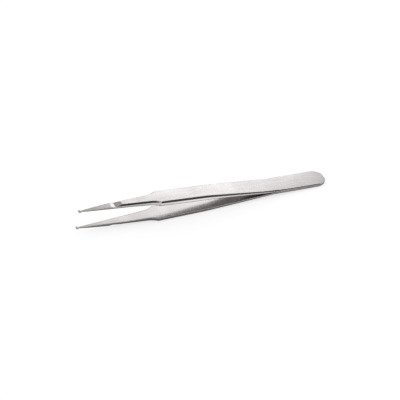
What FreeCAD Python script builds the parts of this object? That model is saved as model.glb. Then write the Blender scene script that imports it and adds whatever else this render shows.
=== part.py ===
import FreeCAD, Part
import math
import os
import Sketcher

# Precision tweezers of ground stainless steel, in millimetres.
# Two equal arms lie face to face at the rear, where they are welded, and bow apart towards the tips.
# An arm is drawn in its own frame: X runs from the rear end to the tip, Y across the arm and Z
# from the plane between the arms to the outer face.
# The finished pair lies on its lower arm, as it comes to rest on a table, with the tips at -X.

SIZES = [
    ("overall_length", 120.0, "rear end to tip"),
    ("weld_length", 26.0, "stretch at the rear where the arms touch"),
    ("weld_bend_radius", 150.0, "bend where the arms part"),
    ("inner_bend_to_tip", 66.0, "bend of the inner face to the tip"),
    ("inner_bend_radius", 120.0, "bend of the inner face"),
    ("inner_bend_gap", 2.27, "inner face to mid-plane at that bend"),
    ("front_bend_to_tip", 25.0, "bend where the inner face turns along the tips, to the tip"),
    ("front_bend_radius", 250.0, "bend of the inner face at that place"),
    ("front_bend_gap", 3.87, "inner face to mid-plane there"),
    ("tip_gap", 4.3, "inner face to mid-plane at the tip"),
    ("rear_thickness", 0.72, "arm at the rear end"),
    ("weld_thickness", 0.94, "arm where the arms part"),
    ("bow_to_tip", 61.5, "bow of the outer face to the tip"),
    ("bow_radius", 110.0, "bow of the outer face"),
    ("bow_depth", 2.04, "bow above the inner bend"),
    ("shoulder_depth", 1.5, "outer face at the shoulder above the front bend"),
    ("shoulder_bend_radius", 250.0, "bend of the outer face over the shoulder"),
    ("blank_tip_depth", 1.36, "outer face above the inner one at the tip before grinding"),
    ("nose_corner", 2.2, "half width of the rear end at its first corner"),
    ("nose_radius", 2.6, "rounding of the rear end"),
    ("cheek_at", 2.6, "rear end to the corner where the full width is reached"),
    ("cheek_radius", 5.5, "rounding beside the rear end"),
    ("rear_width", 9.9, "arm at its rear"),
    ("shoulder_width", 8.8, "arm at the shoulder"),
    ("shoulder_to_tip", 38.2, "shoulder corner to tip"),
    ("neck_to_tip", 35.9, "corner behind the slender part, to the tip"),
    ("neck_width", 6.11, "slender part at that corner"),
    ("neck_radius", 9.0, "hollow between shoulder and slender part"),
    ("point_to_tip", 2.2, "fine end of the slender part to the tip"),
    ("point_width", 0.86, "slender part at its fine end"),
    ("waist_width", 0.56, "waist behind the tip pad"),
    ("pad_length", 0.9, "tip pad along the arm"),
    ("pad_width", 1.6, "tip pad across the arm"),
    ("rear_bevel", 0.22, "chamfer round the rear of the outer face"),
    ("spring_bevel", 0.26, "bevel of the outer face where the arms part"),
    ("bow_bevel", 0.7, "bevel of the outer face at the bow"),
    ("grip_bevel", 0.66, "bevel of the outer face at the shoulder and along the slender part"),
    ("groove_back_to_tip", 20.45, "cross groove's rear edge to the tip"),
    ("groove_to_tip", 17.15, "cross groove's floor to the tip"),
    ("groove_radius", 0.8, "rounding of the groove's floor"),
    ("groove_floor", 0.92, "groove floor above the inner face at the front bend"),
    ("ridge_to_tip", 15.3, "ridge in front of the groove, to the tip"),
    ("ridge_depth", 1.35, "ridge above the inner face at the front bend"),
    ("thinning_to_tip", 8.0, "place where the arm starts to thin, to the tip"),
    ("thinning_depth", 0.72, "arm thickness there, above the tip's inner face"),
    ("thinning_radius", 30.0, "bend of the ground front face there"),
    ("tip_thickness", 0.34, "arm at the tip"),
    ("tool_clearance", 3.0, "how far a cut runs past the blank"),
]

doc = FreeCAD.newDocument("Tweezers")
sheet = doc.addObject("Spreadsheet::Sheet", "Sizes")
for row, (alias, value, meaning) in enumerate(SIZES, start=1):
    sheet.set(f"A{row}", alias)
    sheet.set(f"B{row}", str(value))
    sheet.set(f"C{row}", meaning)
    sheet.setAlias(f"B{row}", alias)
doc.recompute()


# Values worked out from the sheet
# They hold slopes of the outer face and the tilt at which the pair rests.

def derived_values():
    values = doc.addObject("App::VarSet", "Worked")

    def add(name, kind, expression):
        values.addProperty(kind, name)
        values.setExpression(name, expression)

    # Places in front of the weld are kept from the tip, and counted here from the rear end
    places = ["inner_bend", "bow", "shoulder", "neck", "front_bend", "groove_back", "groove",
              "ridge", "thinning", "point"]
    for place in places:
        add(f"{place}_at", "App::PropertyFloat", f"Sizes.overall_length - Sizes.{place}_to_tip")
    add("bow_height", "App::PropertyFloat", "Sizes.inner_bend_gap + Sizes.bow_depth")
    add("shoulder_height", "App::PropertyFloat", "Sizes.front_bend_gap + Sizes.shoulder_depth")
    add("spring_slope", "App::PropertyAngle",
        "atan((bow_height - Sizes.weld_thickness) / (bow_at - Sizes.weld_length))")
    add("grip_slope", "App::PropertyAngle",
        "atan((shoulder_height - bow_height) / (shoulder_at - bow_at))")
    add("front_slope", "App::PropertyAngle",
        "atan((Sizes.tip_gap + Sizes.blank_tip_depth - shoulder_height)"
        " / (Sizes.overall_length - shoulder_at))")
    add("side_taper", "App::PropertyAngle",
        "atan((Sizes.rear_width - Sizes.shoulder_width) / 2 / (shoulder_at - Sizes.cheek_at))")
    add("slender_taper", "App::PropertyAngle",
        "atan((Sizes.neck_width - Sizes.point_width) / 2 / (point_at - neck_at))")
    # Centre of the bow, from the corner where its two slopes meet
    add("bow_tangent", "App::PropertyFloat",
        "Sizes.bow_radius * tan((spring_slope - grip_slope) / 2)")
    add("bow_centre_x", "App::PropertyFloat",
        "bow_at - bow_tangent * cos(spring_slope) + Sizes.bow_radius * sin(spring_slope)")
    add("bow_centre_z", "App::PropertyFloat",
        "bow_height - bow_tangent * sin(spring_slope) - Sizes.bow_radius * cos(spring_slope)")
    # The floor touches the rear end and the bow
    add("floor_run", "App::PropertyFloat", "bow_centre_x - Sizes.rear_bevel")
    add("floor_drop", "App::PropertyFloat", "bow_centre_z - Sizes.rear_thickness")
    add("rest_tilt", "App::PropertyAngle",
        "atan(floor_drop / floor_run)"
        " + asin(Sizes.bow_radius / sqrt(floor_run ^ 2 + floor_drop ^ 2))")
    add("rest_lift", "App::PropertyFloat",
        "Sizes.rear_thickness * cos(rest_tilt) - Sizes.rear_bevel * sin(rest_tilt)")
    # Middle of the pair's length as it lies, between the upper rear rim and the lower tip
    add("rear_reach", "App::PropertyFloat",
        "(Sizes.rear_thickness - Sizes.rear_bevel) * sin(rest_tilt)")
    add("tip_reach", "App::PropertyFloat",
        "-Sizes.overall_length * cos(rest_tilt)"
        " - (Sizes.tip_gap + Sizes.tip_thickness) * sin(rest_tilt)")
    add("rest_shift", "App::PropertyFloat", "-(rear_reach + tip_reach) / 2")
    return values


worked = derived_values()
doc.recompute()


# Sketch helpers

def plane_of(body, role):
    return next(feature for feature in body.Origin.OriginFeatures if feature.Role == role)


def new_sketch(body, name, role):
    sketch = body.newObject("Sketcher::SketchObject", name)
    sketch.AttachmentSupport = [(plane_of(body, role), "")]
    sketch.MapMode = "FlatFace"
    return sketch


def number(expression):
    return float(sheet.evalExpression(expression))


def bind(sketch, constraint, expression):
    index = sketch.addConstraint(constraint)
    sketch.setExpression(f"Constraints[{index}]", expression)


def place_point(sketch, geometry, end, x_expression, y_expression):
    """Tie one point of a sketch to two expressions, measured from the sketch's origin."""
    bind(sketch, Sketcher.Constraint("DistanceX", -1, 1, geometry, end, number(x_expression)),
         x_expression)
    bind(sketch, Sketcher.Constraint("DistanceY", -1, 1, geometry, end, number(y_expression)),
         y_expression)


def rounded_corner(before, here, after, radius):
    """Where a rounding of this radius starts, its middle and its end, between two straight lines."""
    to_before = (before - here).normalize()
    to_after = (after - here).normalize()
    halfway = (to_before + to_after).normalize()
    centre = here + halfway * (radius / math.sin(to_before.getAngle(to_after) / 2))
    start = here + to_before * to_before.dot(centre - here)
    end = here + to_after * to_after.dot(centre - here)
    return start, centre - halfway * radius, end


def draw_outline(sketch, corners, closed=True):
    """Draw straight lines from corner to corner. A corner is its x and y, and a radius if rounded."""
    points = [FreeCAD.Vector(number(corner[0]), number(corner[1]), 0) for corner in corners]
    arrivals = list(points)
    departures = list(points)
    arcs = {}
    for index, corner in enumerate(corners):
        if len(corner) == 3:
            after = points[(index + 1) % len(points)]
            start, middle, end = rounded_corner(points[index - 1], points[index], after, number(corner[2]))
            arrivals[index] = start
            departures[index] = end
            turns_left = (middle - start).cross(end - middle).z > 0
            ends = (start, end) if turns_left else (end, start)
            arcs[index] = (sketch.addGeometry(Part.Arc(ends[0], middle, ends[1])), turns_left)
    lines = []
    for index in range(len(corners) if closed else len(corners) - 1):
        line = Part.LineSegment(departures[index], arrivals[(index + 1) % len(corners)])
        lines.append(sketch.addGeometry(line))
    for index, corner in enumerate(corners):
        first_of_open = not closed and index == 0
        last_of_open = not closed and index == len(corners) - 1
        if last_of_open:
            place_point(sketch, lines[-1], 2, corner[0], corner[1])
        elif index not in arcs:
            place_point(sketch, lines[index], 1, corner[0], corner[1])
            if not first_of_open:
                join = Sketcher.Constraint("Coincident", lines[index - 1], 2, lines[index], 1)
                sketch.addConstraint(join)
        else:
            arc, turns_left = arcs[index]
            arc_start, arc_end = (1, 2) if turns_left else (2, 1)
            mark = sketch.addGeometry(Part.Point(points[index]), True)
            place_point(sketch, mark, 1, corner[0], corner[1])
            for line in (lines[index - 1], lines[index]):
                sketch.addConstraint(Sketcher.Constraint("PointOnObject", mark, 1, line))
            sketch.addConstraint(Sketcher.Constraint("Tangent", lines[index - 1], 2, arc, arc_start))
            sketch.addConstraint(Sketcher.Constraint("Tangent", lines[index], 1, arc, arc_end))
            bind(sketch, Sketcher.Constraint("Radius", arc, number(corner[2])), corner[2])


def cut_through(body, name, sketch):
    """Cut a sketch through the body, both ways from its plane, and see that it took metal away."""
    before = body.Shape.Volume
    pocket = body.newObject("PartDesign::Pocket", name)
    pocket.Profile = sketch
    pocket.Type = "ThroughAll"
    pocket.SideType = "Symmetric"
    doc.recompute()
    if not body.Shape.Volume < before:
        raise RuntimeError(f"{name} cuts nothing")


# Outlines

def side_profile():
    """Inner face from the rear to the tip, then the outer face back."""
    return [
        ("0", "0"),
        ("Sizes.weld_length", "0", "Sizes.weld_bend_radius"),
        ("Worked.inner_bend_at", "Sizes.inner_bend_gap", "Sizes.inner_bend_radius"),
        ("Worked.front_bend_at", "Sizes.front_bend_gap", "Sizes.front_bend_radius"),
        ("Sizes.overall_length", "Sizes.tip_gap"),
        ("Sizes.overall_length", "Sizes.tip_gap + Sizes.blank_tip_depth"),
        ("Worked.shoulder_at", "Worked.shoulder_height", "Sizes.shoulder_bend_radius"),
        ("Worked.bow_at", "Worked.bow_height", "Sizes.bow_radius"),
        ("Sizes.weld_length", "Sizes.weld_thickness", "Sizes.weld_bend_radius"),
        ("0", "Sizes.rear_thickness"),
    ]


def plan_half():
    """One long side of the arm as seen from above, from the rear end to the tip."""
    return [
        ("0", "Sizes.nose_corner", "Sizes.nose_radius"),
        ("Sizes.cheek_at", "Sizes.rear_width / 2", "Sizes.cheek_radius"),
        ("Worked.shoulder_at", "Sizes.shoulder_width / 2"),
        ("Worked.neck_at", "Sizes.neck_width / 2", "Sizes.neck_radius"),
        ("Worked.point_at", "Sizes.point_width / 2"),
        ("Sizes.overall_length - 2 * Sizes.pad_length", "Sizes.waist_width / 2"),
        ("Sizes.overall_length - Sizes.pad_length", "Sizes.waist_width / 2"),
        ("Sizes.overall_length - Sizes.pad_length", "Sizes.pad_width / 2"),
        ("Sizes.overall_length", "Sizes.pad_width / 2"),
    ]


def plan_outline():
    """Both long sides: the far one runs to the tip, and the near one, its mirror image, back."""
    far_side = plan_half()
    near_side = [(corner[0], f"-({corner[1]})", *corner[2:]) for corner in reversed(far_side)]
    return far_side + near_side


def frame_outline():
    """A rectangle that clears the blank on all sides."""
    return [
        ("-Sizes.tool_clearance", "-Sizes.rear_width"),
        ("Sizes.overall_length + Sizes.tool_clearance", "-Sizes.rear_width"),
        ("Sizes.overall_length + Sizes.tool_clearance", "Sizes.rear_width"),
        ("-Sizes.tool_clearance", "Sizes.rear_width"),
    ]


def front_grind_outline():
    """What is ground off the outer face: the cross groove, and the front face that thins to the tip."""
    run = "(Worked.groove_back_at - Worked.shoulder_at)"
    groove_rim = f"Worked.shoulder_height + {run} * tan(Worked.front_slope)"
    return [
        ("Worked.groove_back_at", groove_rim),
        ("Worked.groove_at", "Sizes.front_bend_gap + Sizes.groove_floor", "Sizes.groove_radius"),
        ("Worked.ridge_at", "Sizes.front_bend_gap + Sizes.ridge_depth"),
        ("Worked.thinning_at", "Sizes.tip_gap + Sizes.thinning_depth", "Sizes.thinning_radius"),
        ("Sizes.overall_length", "Sizes.tip_gap + Sizes.tip_thickness"),
        ("Sizes.overall_length + Sizes.tool_clearance", "Sizes.tip_gap + Sizes.tip_thickness"),
        ("Sizes.overall_length + Sizes.tool_clearance", "Worked.shoulder_height + Sizes.tool_clearance"),
        ("Worked.groove_back_at", "Worked.shoulder_height + Sizes.tool_clearance"),
    ]


# Bevels along the outer face

def chamfer_rear_edges(body):
    """Chamfer the rim of the outer face from the rear end to the shoulders."""
    base = body.Tip
    below = FreeCAD.Vector(0, 0, number("Sizes.rear_bevel") / 2)
    tolerance = 0.001
    names = []
    for index, edge in enumerate(base.Shape.Edges, start=1):
        halfway = (edge.FirstParameter + edge.LastParameter) / 2
        middle = edge.valueAt(halfway)
        in_front = edge.BoundBox.XMax > number("Worked.shoulder_at") + tolerance
        upright = abs(edge.tangentAt(halfway).z) > 0.5
        crosswise = abs(middle.y) < tolerance and middle.x > tolerance
        if in_front or upright or crosswise:
            continue
        metal_below = base.Shape.isInside(middle - below, tolerance, True)
        metal_above = base.Shape.isInside(middle + below, tolerance, True)
        if metal_below and not metal_above:
            names.append(f"Edge{index}")
    chamfer = body.newObject("PartDesign::Chamfer", "RearBevel")
    chamfer.Base = (base, names)
    chamfer.setExpression("Size", "Sizes.rear_bevel")
    doc.recompute()


def bevel_section(body, name, place, half_width, height, bevel, taper="0"):
    """A triangle across one edge of the outer face. Its long side is the bevel."""
    sketch = new_sketch(body, name, "YZ_Plane")
    turned = FreeCAD.Rotation(FreeCAD.Vector(0, 1, 0), number(taper))
    sketch.AttachmentOffset = FreeCAD.Placement(FreeCAD.Vector(0, 0, 0), turned)
    sketch.setExpression("AttachmentOffset.Rotation.Angle", taper)
    sketch.setExpression("AttachmentOffset.Base.x", half_width)
    sketch.setExpression("AttachmentOffset.Base.y", height)
    sketch.setExpression("AttachmentOffset.Base.z", place)
    reach = "Sizes.weld_thickness"
    draw_outline(sketch, [
        (f"-{bevel} - {reach}", reach),
        (reach, f"-{bevel} - {reach}"),
        (reach, reach),
    ])
    return sketch


def body_bevel(body):
    """The bevel that widens from the rear to the shoulder."""
    past_shoulder = "(Worked.shoulder_at + Sizes.tool_clearance)"
    stations = [
        ("Rear", "Sizes.cheek_at", "Sizes.rear_thickness", "Sizes.rear_bevel / 2"),
        ("Spring", "Sizes.weld_length", "Sizes.weld_thickness", "Sizes.spring_bevel"),
        ("Bow", "Worked.bow_at", "Worked.bow_height", "Sizes.bow_bevel"),
        ("Shoulder", past_shoulder,
         "Worked.shoulder_height + Sizes.tool_clearance * tan(Worked.grip_slope)", "Sizes.grip_bevel"),
    ]
    sections = [
        bevel_section(body, f"BevelAt{name}", place,
                      f"Sizes.rear_width / 2 - tan(Worked.side_taper) * ({place} - Sizes.cheek_at)",
                      height, bevel)
        for name, place, height, bevel in stations
    ]
    doc.recompute()
    loft = body.newObject("PartDesign::SubtractiveLoft", "BodyBevel")
    loft.Profile = sections[0]
    loft.Sections = sections[1:]
    loft.Ruled = True
    doc.recompute()
    return loft


def slender_bevel(body):
    """The bevel that follows the hollow of the shoulder and the slender part up to the groove."""
    half_width = "Sizes.neck_width / 2 - (Worked.groove_at - Worked.neck_at) * tan(Worked.slender_taper)"
    rise = "(Worked.groove_at - Worked.shoulder_at) * tan(Worked.front_slope)"
    path = new_sketch(body, "SlenderBevelPath", "XY_Plane")
    tilted = FreeCAD.Rotation(FreeCAD.Vector(0, 1, 0), -number("Worked.front_slope"))
    path.AttachmentOffset = FreeCAD.Placement(FreeCAD.Vector(0, 0, 0), tilted)
    path.setExpression("AttachmentOffset.Rotation.Angle", "-Worked.front_slope")
    path.setExpression("AttachmentOffset.Base.z",
                       "Worked.shoulder_height - Worked.shoulder_at * tan(Worked.front_slope)")
    draw_outline(path, [
        ("Worked.groove_at", half_width),
        ("Worked.neck_at", "Sizes.neck_width / 2", "Sizes.neck_radius"),
        ("2 * Worked.shoulder_at - Worked.neck_at", "Sizes.shoulder_width - Sizes.neck_width / 2"),
    ], closed=False)
    section = bevel_section(body, "SlenderBevelSection", "Worked.groove_at", half_width,
                            f"Worked.shoulder_height + {rise}", "Sizes.grip_bevel",
                            "-Worked.slender_taper")
    doc.recompute()
    pipe = body.newObject("PartDesign::SubtractivePipe", "SlenderBevel")
    pipe.Profile = section
    pipe.Spine = path
    doc.recompute()
    return pipe


def mirror_bevels(body, bevels):
    twin = body.newObject("PartDesign::Mirrored", "BevelTwins")
    twin.Originals = bevels
    twin.MirrorPlane = (plane_of(body, "XZ_Plane"), [""])
    body.Tip = twin
    doc.recompute()


# One arm

def make_arm(name):
    body = doc.addObject("PartDesign::Body", name)
    body.Label = name

    side = new_sketch(body, "SideProfile", "XZ_Plane")
    draw_outline(side, side_profile())
    blank = body.newObject("PartDesign::Pad", "Blank")
    blank.Profile = side
    blank.SideType = "Symmetric"
    blank.setExpression("Length", "Sizes.rear_width")
    doc.recompute()

    plan = new_sketch(body, "PlanOutline", "XY_Plane")
    draw_outline(plan, frame_outline())
    draw_outline(plan, plan_outline())
    cut_through(body, "OutlineCut", plan)

    front = new_sketch(body, "FrontGrindProfile", "XZ_Plane")
    draw_outline(front, front_grind_outline())
    cut_through(body, "FrontGrind", front)

    chamfer_rear_edges(body)
    mirror_bevels(body, [body_bevel(body), slender_bevel(body)])
    return body


# The pair as it lies

LYING = ("placement(vector(Worked.rest_shift; 0; Worked.rest_lift);"
         " rotation(vector(0; 1; 0); Worked.rest_tilt))")
ABOUT_Z = "placement(vector(0; 0; 0); rotation(vector(0; 0; 1); 180))"
ABOUT_Y = "placement(vector(0; 0; 0); rotation(vector(0; 1; 0); 180))"

upper_arm = make_arm("upper_arm")
upper_arm.setExpression("Placement", f"{LYING} * {ABOUT_Z}")
lower_arm = make_arm("lower_arm")
lower_arm.setExpression("Placement", f"{LYING} * {ABOUT_Y}")
doc.recompute()

for item in doc.Objects:
    if "Invalid" in item.State or "Error" in item.State:
        raise RuntimeError(f"{item.Name} failed: {item.State}")

os.makedirs("parts", exist_ok=True)
for arm in (upper_arm, lower_arm):
    shape = arm.Shape
    if shape.isNull() or not shape.isValid() or len(shape.Solids) != 1:
        raise RuntimeError(f"{arm.Label} is not one valid solid")
    shape.exportStep(f"parts/{arm.Label}.step")
    box = shape.BoundBox
    print(arm.Label, "volume", round(shape.Volume, 1), "mm3, box", [
        round(value, 2) for value in (box.XMin, box.XMax, box.YMin, box.YMax, box.ZMin, box.ZMax)])
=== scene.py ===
# %% [markdown]
# # Fine-pointed tweezers
#
# A pair of precision tweezers is two sprung arms of stainless steel, joined face to face at the rear.
# Their shape could be modelled here, but it comes finished from the CAD part, with its bends, bevels
# and grooves. This lesson loads the arms, gives them their satin ground steel, and lights and frames
# them as a small product shot on white.

import math

import bpy
from mathutils import Matrix, Vector


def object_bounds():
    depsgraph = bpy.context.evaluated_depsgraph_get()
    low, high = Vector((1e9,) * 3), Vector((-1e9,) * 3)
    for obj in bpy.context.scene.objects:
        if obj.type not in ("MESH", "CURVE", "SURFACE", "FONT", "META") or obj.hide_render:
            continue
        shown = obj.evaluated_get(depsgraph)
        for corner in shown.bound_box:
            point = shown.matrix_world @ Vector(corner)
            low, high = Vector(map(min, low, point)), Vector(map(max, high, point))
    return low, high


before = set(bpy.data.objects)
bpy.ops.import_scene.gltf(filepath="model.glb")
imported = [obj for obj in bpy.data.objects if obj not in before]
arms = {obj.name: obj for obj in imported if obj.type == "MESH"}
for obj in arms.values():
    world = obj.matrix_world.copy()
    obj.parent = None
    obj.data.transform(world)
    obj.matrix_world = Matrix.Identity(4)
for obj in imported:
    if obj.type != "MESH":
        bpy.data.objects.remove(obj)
cad_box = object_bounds()
print("arms:", sorted(arms))
print("box of the arms in mm:", [[round(1000 * v, 2) for v in corner] for corner in cad_box])

# %% [markdown]
# ## Camera
#
# Small objects are shot from far away with a long lens, so that the near arm doesn't look larger than
# the far one. The camera could be turned by hand, but three plain angles say it better: how far it
# stands to the side, how high it looks down from, and how much it is rolled. The lens follows from
# the distance and from the width of the picture at the arms.

# %% Camera
CAMERA_SIDE = math.radians(28.1)
CAMERA_HEIGHT = math.radians(38.0)
CAMERA_ROLL = math.radians(5.5)
CAMERA_DISTANCE = 4.17
FRAME_WIDTH = 0.17567
SENSOR_WIDTH = 36.0
LOOK_AT = Vector((0.000115, 0.0, 0.004365))
AIM_BELOW = 0.00066
AIM_LEFT = 0.0004


def camera_axes():
    """Right, up and backward directions of the camera."""
    level = Vector((math.cos(CAMERA_SIDE), -math.sin(CAMERA_SIDE), 0.0))
    back = Vector((
        -math.sin(CAMERA_SIDE) * math.cos(CAMERA_HEIGHT),
        -math.cos(CAMERA_SIDE) * math.cos(CAMERA_HEIGHT),
        math.sin(CAMERA_HEIGHT),
    ))
    above = back.cross(level)
    right = level * math.cos(CAMERA_ROLL) + above * math.sin(CAMERA_ROLL)
    up = above * math.cos(CAMERA_ROLL) - level * math.sin(CAMERA_ROLL)
    return right, up, back


right, up, back = camera_axes()
stand = LOOK_AT - up * AIM_BELOW - right * AIM_LEFT + back * CAMERA_DISTANCE
camera = bpy.data.objects.new("camera", bpy.data.cameras.new("camera"))
bpy.context.scene.collection.objects.link(camera)
camera.matrix_world = Matrix.Translation(stand) @ Matrix((right, up, back)).transposed().to_4x4()
camera.data.sensor_width = SENSOR_WIDTH
camera.data.lens = SENSOR_WIDTH * CAMERA_DISTANCE / FRAME_WIDTH
bpy.context.scene.camera = camera
print("lens in mm:", round(camera.data.lens, 1))

# %% [markdown]
# ## Node helpers
#
# Every finish below is a small tree of nodes. It could be wired by hand in the editor, but a script
# keeps it readable: one helper adds a node with its inputs, and two more build on it, so that each
# tree reads as a list of what it is made of.

# %% Node helpers
def empty_tree(owner):
    """owner's node tree with nothing in it."""
    owner.use_nodes = True
    owner.node_tree.nodes.clear()
    return owner.node_tree


def add_node(tree, kind, inputs=None, **settings):
    """A node of that kind, with its settings and the values or links of its inputs."""
    node = tree.nodes.new(kind)
    for name, value in settings.items():
        setattr(node, name, value)
    for socket, value in (inputs or {}).items():
        if isinstance(value, bpy.types.NodeSocket):
            tree.links.new(value, node.inputs[socket])
        else:
            node.inputs[socket].default_value = value
    return node


def calculate(tree, operation, *values):
    """A Math node's result."""
    return add_node(tree, "ShaderNodeMath", dict(enumerate(values)), operation=operation).outputs[0]


def soft_step(tree, value, span, results):
    """The first result while value is below the span, the second above it, and a soft change."""
    inputs = dict(enumerate((value, *span, *results)))
    return add_node(tree, "ShaderNodeMapRange", inputs, interpolation_type="SMOOTHSTEP").outputs[0]


print("helpers: empty_tree, add_node, calculate, soft_step")

# %% [markdown]
# ## Grain
#
# Such arms are ground along their length and then blasted fine, which leaves a matt surface with
# faint long scratches. A picture of brushed steel could be wrapped round them, but it would blur up
# close and show where it repeats. Noise that is fine across the arm and long along it gives the same
# scratches at any distance. Wider streaks and soft clouds keep the sheen from looking printed. The
# arms lie tilted on their bow, so the noise is turned by that tilt to run along them.

# %% Grain
REST_TILT = math.radians(3.49)
GRAIN_PER_METRE = (220.0, 5000.0, 5000.0)
STREAKS_PER_METRE = (45.0, 900.0, 900.0)
CLOUDS_PER_METRE = 90.0
NOISE_DETAIL = 3.0


def long_noise(tree, spot, per_metre):
    """Noise that is drawn out along the arm."""
    along = add_node(tree, "ShaderNodeMapping", {
        "Vector": spot, "Rotation": (0.0, -REST_TILT, 0.0), "Scale": per_metre})
    inputs = {"Vector": along.outputs[0], "Scale": 1.0, "Detail": NOISE_DETAIL}
    return add_node(tree, "ShaderNodeTexNoise", inputs).outputs[0]


def steel_noise(tree):
    """Grain, streaks and clouds of the steel."""
    spot = add_node(tree, "ShaderNodeTexCoord").outputs["Object"]
    grain = long_noise(tree, spot, GRAIN_PER_METRE)
    streaks = long_noise(tree, spot, STREAKS_PER_METRE)
    inputs = {"Vector": spot, "Scale": CLOUDS_PER_METRE, "Detail": NOISE_DETAIL}
    return grain, streaks, add_node(tree, "ShaderNodeTexNoise", inputs).outputs[0]


print("grain in mm:", [round(1000 / per_metre, 1) for per_metre in GRAIN_PER_METRE])

# %% [markdown]
# ## Bevels and edges
#
# Bevels, sides and cross grooves are cut by a finer wheel than the flats, and hands rub the sharp
# edges slightly bright. Both could be painted on by hand, but masks follow the shape by themselves:
# the slope of a face tells a flat from a cut, and the Bevel node, whose normal turns near an edge,
# finds the edges. No edge is quite sharp either. Rounding that is too small to model can still bend
# the shading, and it is left out on the bevels, so that they stay crisp.

# %% Bevels and edges
CUT_TO_FLAT = (0.93, 0.985)
RUBBED_WIDTH = 0.00012
RUBBED_TO_SOUND = (0.9, 0.99)
RUBBED_PATCHES = (0.9, 0.3)
CLOUD_SPAN = (0.35, 0.65)
ROUNDED_WIDTH = 0.0004
BEVEL_LEAN = 0.65
BEVEL_LEAN_SPREAD = 0.3


def near_edges(tree, width, samples):
    """The face's normal, turned towards the next face within width of an edge."""
    return add_node(tree, "ShaderNodeBevel", {"Radius": width}, samples=samples).outputs[0]


def steel_masks(tree, clouds):
    """Where the steel is cut finer, where it is rubbed, and its normal with rounded edges."""
    normal = add_node(tree, "ShaderNodeNewGeometry").outputs["Normal"]
    height = add_node(tree, "ShaderNodeSeparateXYZ", {"Vector": normal}).outputs["Z"]
    upright = calculate(tree, "ABSOLUTE", height)
    cut = soft_step(tree, upright, CUT_TO_FLAT, (1.0, 0.0))

    likeness = add_node(
        tree, "ShaderNodeVectorMath", {0: near_edges(tree, RUBBED_WIDTH, 6), 1: normal},
        operation="DOT_PRODUCT").outputs["Value"]
    rubbed = calculate(
        tree, "MULTIPLY", soft_step(tree, likeness, RUBBED_TO_SOUND, (1.0, 0.0)),
        soft_step(tree, clouds, CLOUD_SPAN, RUBBED_PATCHES))

    bevel = calculate(tree, "COMPARE", upright, BEVEL_LEAN, BEVEL_LEAN_SPREAD)
    width = calculate(tree, "MULTIPLY", calculate(tree, "SUBTRACT", 1.0, bevel), ROUNDED_WIDTH)
    return cut, rubbed, near_edges(tree, width, 8)


print("edges in mm: rubbed", 1000 * RUBBED_WIDTH, "and rounded", 1000 * ROUNDED_WIDTH)

# %% [markdown]
# ## Colour and sheen
#
# Bare stainless steel is a pale, slightly warm grey, and its sheen changes a little from place to
# place. One even colour and roughness could stand for it, but would look like grey plastic. So the
# streaks and clouds dull the colour a little, the grain and clouds change the roughness, and cuts
# and rubbed edges come out smoother and brighter.

# %% Colour and sheen
STEEL = (0.66, 0.64, 0.635, 1.0)
DULL_STEEL = (0.59, 0.567, 0.562, 1.0)
RUBBED_STEEL = (0.74, 0.72, 0.71, 1.0)
GRAIN_SPAN = (0.3, 0.7)
STREAK_DULLING = 0.6
CLOUD_DULLING = 0.5
SATIN_ROUGHNESS = (0.25, 0.28)
CLOUD_ROUGHNESS = (-0.015, 0.015)
CUT_SMOOTHER = 0.05
RUBBED_SMOOTHER = 0.06


def mixed_colour(tree, share, first, second):
    """The first colour, with a share of the second."""
    return add_node(
        tree, "ShaderNodeMix", {0: share, 6: first, 7: second}, data_type="RGBA").outputs[2]


def steel_colour(tree, streaks, clouds, rubbed):
    """Steel that is duller in streaks and clouds and bright where it is rubbed."""
    dulled = calculate(tree, "ADD", soft_step(tree, streaks, GRAIN_SPAN, (0.0, STREAK_DULLING)),
                       soft_step(tree, clouds, CLOUD_SPAN, (0.0, CLOUD_DULLING)))
    return mixed_colour(tree, rubbed, mixed_colour(tree, dulled, STEEL, DULL_STEEL), RUBBED_STEEL)


def steel_roughness(tree, grain, clouds, cut, rubbed):
    """Satin roughness that follows the grain and is lower on cuts and rubbed edges."""
    satin = calculate(tree, "ADD", soft_step(tree, grain, GRAIN_SPAN, SATIN_ROUGHNESS),
                      soft_step(tree, clouds, CLOUD_SPAN, CLOUD_ROUGHNESS))
    smoother = calculate(tree, "ADD", calculate(tree, "MULTIPLY", cut, CUT_SMOOTHER),
                         calculate(tree, "MULTIPLY", rubbed, RUBBED_SMOOTHER))
    return calculate(tree, "SUBTRACT", satin, smoother)


print("roughness: flats", SATIN_ROUGHNESS, "and cuts", CUT_SMOOTHER, "less")

# %% [markdown]
# ## Satin steel
#
# Both arms are cut from the same sheet and ground together, so one material dresses both. It could be
# two, one for the flats and one for the cuts, but the masks already tell these apart inside it. A
# very low bump from the grain draws the reflection out along the arm, and its normal starts from the
# rounded edges.

# %% Satin steel
GRAIN_DEPTH = 0.00002
GRAIN_ON_FLAT_AND_CUT = (0.02, 0.07)


def satin_steel():
    """The one finish of the arms."""
    material = bpy.data.materials.new("satin_steel")
    tree = empty_tree(material)
    grain, streaks, clouds = steel_noise(tree)
    cut, rubbed, rounded = steel_masks(tree, clouds)
    bump = add_node(tree, "ShaderNodeBump", {
        "Height": grain, "Strength": soft_step(tree, cut, (0.0, 1.0), GRAIN_ON_FLAT_AND_CUT),
        "Distance": GRAIN_DEPTH, "Normal": rounded})
    steel = add_node(tree, "ShaderNodeBsdfPrincipled", {
        "Base Color": steel_colour(tree, streaks, clouds, rubbed), "Metallic": 1.0,
        "Roughness": steel_roughness(tree, grain, clouds, cut, rubbed), "Normal": bump.outputs[0]})
    add_node(tree, "ShaderNodeOutputMaterial", {"Surface": steel.outputs[0]})
    return material


steel = satin_steel()
for arm in arms.values():
    for slot in arm.material_slots:
        slot.material = steel
    print(arm.name, "faces:", len(arm.data.polygons), "slots:", len(arm.material_slots))

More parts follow.
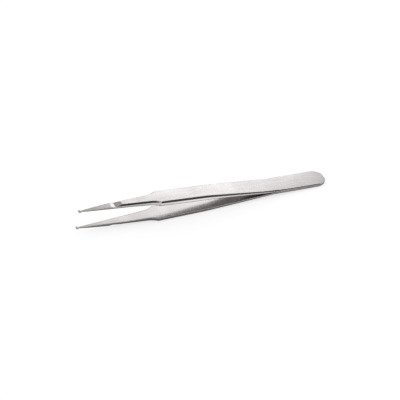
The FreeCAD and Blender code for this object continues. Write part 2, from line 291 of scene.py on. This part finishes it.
# %% [markdown]
# ## Painted reflection of a white card
#
# Metal mirrors what lies around it, and in an all white place steel looks like paper. On a real table
# a white card, laid aslant in front of the arms, lights their near sides, and the darker floor behind
# its edge draws the dark lines below them. The card could be a plane that is hidden from the camera.
# Here there is no card: its reflection is painted as a glow on the floor that only reflections see,
# bright in front of the slanting edge and dim behind it, which needs no extra object.

# %% Painted reflection of a white card
# Painted reflection: how brightly the floor glows in reflections, in front of the card's edge and
# behind it.
BRIGHT_PAINTED_REFLECTION = 1.14
DIM_PAINTED_REFLECTION = 0.05
PAINTED_REFLECTION_FADE = (-0.0145, -0.0065)
PAINTED_REFLECTION_SLANT = 0.2
PAINTED_REFLECTION_NEAREST = 0.0007


def painted_reflection_glow(tree):
    """Painted reflection of a card: a floor glow that only reflections see, bright before a slanting
    edge, dim behind.
    """
    spot = add_node(tree, "ShaderNodeTexCoord").outputs["Object"]
    along = add_node(tree, "ShaderNodeSeparateXYZ", {"Vector": spot}).outputs
    slant = calculate(tree, "MULTIPLY", along["X"], PAINTED_REFLECTION_SLANT)
    edge = calculate(tree, "MINIMUM", slant, PAINTED_REFLECTION_NEAREST)
    from_edge = calculate(tree, "SUBTRACT", along["Y"], edge)
    return soft_step(tree, from_edge, PAINTED_REFLECTION_FADE, (BRIGHT_PAINTED_REFLECTION, DIM_PAINTED_REFLECTION))


# The printed span is where the painted reflection fades from bright to dim.
print("edge of the card in mm:", [round(1000 * y, 1) for y in PAINTED_REFLECTION_FADE], "in front of the middle")

# %% [markdown]
# ## Floor
#
# Small ware is shot on a plain pale sheet. It could be lit until it is white, but that light would
# flood the arms too. So the sheet stays grey, and a glow that only the camera sees lifts it to white,
# on which the soft shadow of the arms still shows. In reflections the sheet is painted darker still,
# which is painted shade in the steel.

# %% Floor
FLOOR_SIZE = 6.0
FLOOR_GAP = 0.00002
FLOOR_WHITE = 0.5
# Painted shade: the paper's colour as reflections see it, darker than the paper itself.
FLOOR_PAINTED_DARKER_IN_REFLECTION = 0.28
FLOOR_GLOW = 0.7


def white_floor():
    """Grey paper that the camera sees as white, painted darker in reflections, with a painted
    reflection glow.
    """
    material = bpy.data.materials.new("white_floor")
    tree = empty_tree(material)
    ray = add_node(tree, "ShaderNodeLightPath").outputs
    # Painted shade: the paper is darker in reflections only.
    white = soft_step(tree, ray["Is Glossy Ray"], (0.0, 1.0), (FLOOR_WHITE, FLOOR_PAINTED_DARKER_IN_REFLECTION))
    paper = add_node(tree, "ShaderNodeBsdfDiffuse", {"Color": white})
    seen = calculate(tree, "MULTIPLY", ray["Is Camera Ray"], FLOOR_GLOW)
    # Painted reflection: this glow is seen in reflections only.
    painted_reflection_strength = calculate(tree, "MULTIPLY", ray["Is Glossy Ray"], painted_reflection_glow(tree))
    glow = add_node(tree, "ShaderNodeEmission", {"Strength": calculate(tree, "ADD", seen, painted_reflection_strength)})
    both = add_node(tree, "ShaderNodeAddShader", {0: paper.outputs[0], 1: glow.outputs[0]})
    add_node(tree, "ShaderNodeOutputMaterial", {"Surface": both.outputs[0]})
    return material


half = FLOOR_SIZE / 2
floor_mesh = bpy.data.meshes.new("floor")
floor_mesh.from_pydata(
    [(-half, -half, 0.0), (half, -half, 0.0), (half, half, 0.0), (-half, half, 0.0)],
    [], [(0, 1, 2, 3)])
floor_mesh.materials.append(white_floor())
floor = bpy.data.objects.new("floor", floor_mesh)
floor.location.z = cad_box[0][2] - FLOOR_GAP
bpy.context.scene.collection.objects.link(floor)
print("floor:", FLOOR_SIZE, "m wide,", 1000 * FLOOR_GAP, "mm below the arms")

# %% [markdown]
# ## Room
#
# Each face of the steel mirrors another part of the room. A bright wall in front fills in the sides
# that look towards it. The wall behind is darker, so that the flats keep some grey, and it brightens
# down to the horizon, which the front face of each groove catches. A dark part high on the near right
# is what draws the thin dark bevels. A photographed studio could serve as the room, but a few soft
# steps of light are easier to aim. The camera itself sees plain white.

# %% Room
FRONT_LIGHT = 0.92
BACK_LIGHT = 0.48
HORIZON_LIGHT = 0.88
DARK_LIGHT = 0.04
HORIZON_TO_BACK = (0.22, 0.42)
FRONT_TO_BACK = (-0.1, 0.45)
WALLS_TO_DARK = (0.82, 0.95)
DARK_SIDE = Vector((0.31, -0.58, 0.75)).normalized()


def studio_room():
    """Soft walls of light around the object."""
    world = bpy.data.worlds.new("studio_room")
    tree = empty_tree(world)
    direction = add_node(tree, "ShaderNodeTexCoord").outputs["Generated"]
    towards = add_node(tree, "ShaderNodeSeparateXYZ", {"Vector": direction}).outputs
    back_wall = soft_step(tree, towards["Z"], HORIZON_TO_BACK, (HORIZON_LIGHT, BACK_LIGHT))
    walls = soft_step(tree, towards["Y"], FRONT_TO_BACK, (FRONT_LIGHT, back_wall))
    near_dark = add_node(
        tree, "ShaderNodeVectorMath", {0: direction, 1: DARK_SIDE}, operation="DOT_PRODUCT")
    room = soft_step(tree, near_dark.outputs["Value"], WALLS_TO_DARK, (walls, DARK_LIGHT))
    ray = add_node(tree, "ShaderNodeLightPath").outputs
    shown = add_node(
        tree, "ShaderNodeMix", {0: ray["Is Camera Ray"], 2: room, 3: 1.0}, data_type="FLOAT")
    light = add_node(tree, "ShaderNodeBackground", {
        "Color": (1.0, 1.0, 1.0, 1.0), "Strength": shown.outputs[0]})
    add_node(tree, "ShaderNodeOutputWorld", {"Surface": light.outputs[0]})
    return world


bpy.context.scene.world = studio_room()
print("room: front", FRONT_LIGHT, "back", BACK_LIGHT, "horizon", HORIZON_LIGHT, "dark", DARK_LIGHT)

# %% [markdown]
# ## Softbox
#
# One rectangular softbox stands behind the arms, towards their rear. It could be a far lamp, but that
# would shine on the whole length alike. This one is close and turned a little, so its image in the
# satin flats is brightest along the grip and fades towards the rear end and the points.

# %% Softbox
SOFTBOX_HEIGHT = math.radians(30.5)
SOFTBOX_SIDE = math.radians(31.2)
SOFTBOX_TURN = math.radians(30.0)
SOFTBOX_DISTANCE = 0.182
SOFTBOX_SIZE = (0.11, 0.05)
SOFTBOX_LEVEL = 1.31

outward = Vector((
    math.cos(SOFTBOX_HEIGHT) * math.sin(SOFTBOX_SIDE),
    math.cos(SOFTBOX_HEIGHT) * math.cos(SOFTBOX_SIDE),
    math.sin(SOFTBOX_HEIGHT),
))
level = Vector((0.0, 0.0, 1.0)).cross(outward).normalized()
steep = outward.cross(level)
long_side = level * math.cos(SOFTBOX_TURN) + steep * math.sin(SOFTBOX_TURN)
short_side = outward.cross(long_side)
softbox = bpy.data.objects.new("softbox", bpy.data.lights.new("softbox", "AREA"))
softbox.data.shape = "RECTANGLE"
softbox.data.size, softbox.data.size_y = SOFTBOX_SIZE
softbox.data.energy = SOFTBOX_LEVEL * math.pi * SOFTBOX_SIZE[0] * SOFTBOX_SIZE[1]
softbox.matrix_world = Matrix.Translation(outward * SOFTBOX_DISTANCE) @ Matrix(
    (long_side, short_side, outward)).transposed().to_4x4()
bpy.context.scene.collection.objects.link(softbox)
print("softbox power in W:", round(softbox.data.energy, 3))

# %% [markdown]
# ## Finish
#
# The view is set to Standard, so that white stays white and the steel keeps its written colour. A
# more filmic view could be used, but it would grey the background.

# %% Finish
bpy.context.scene.view_settings.view_transform = "Standard"
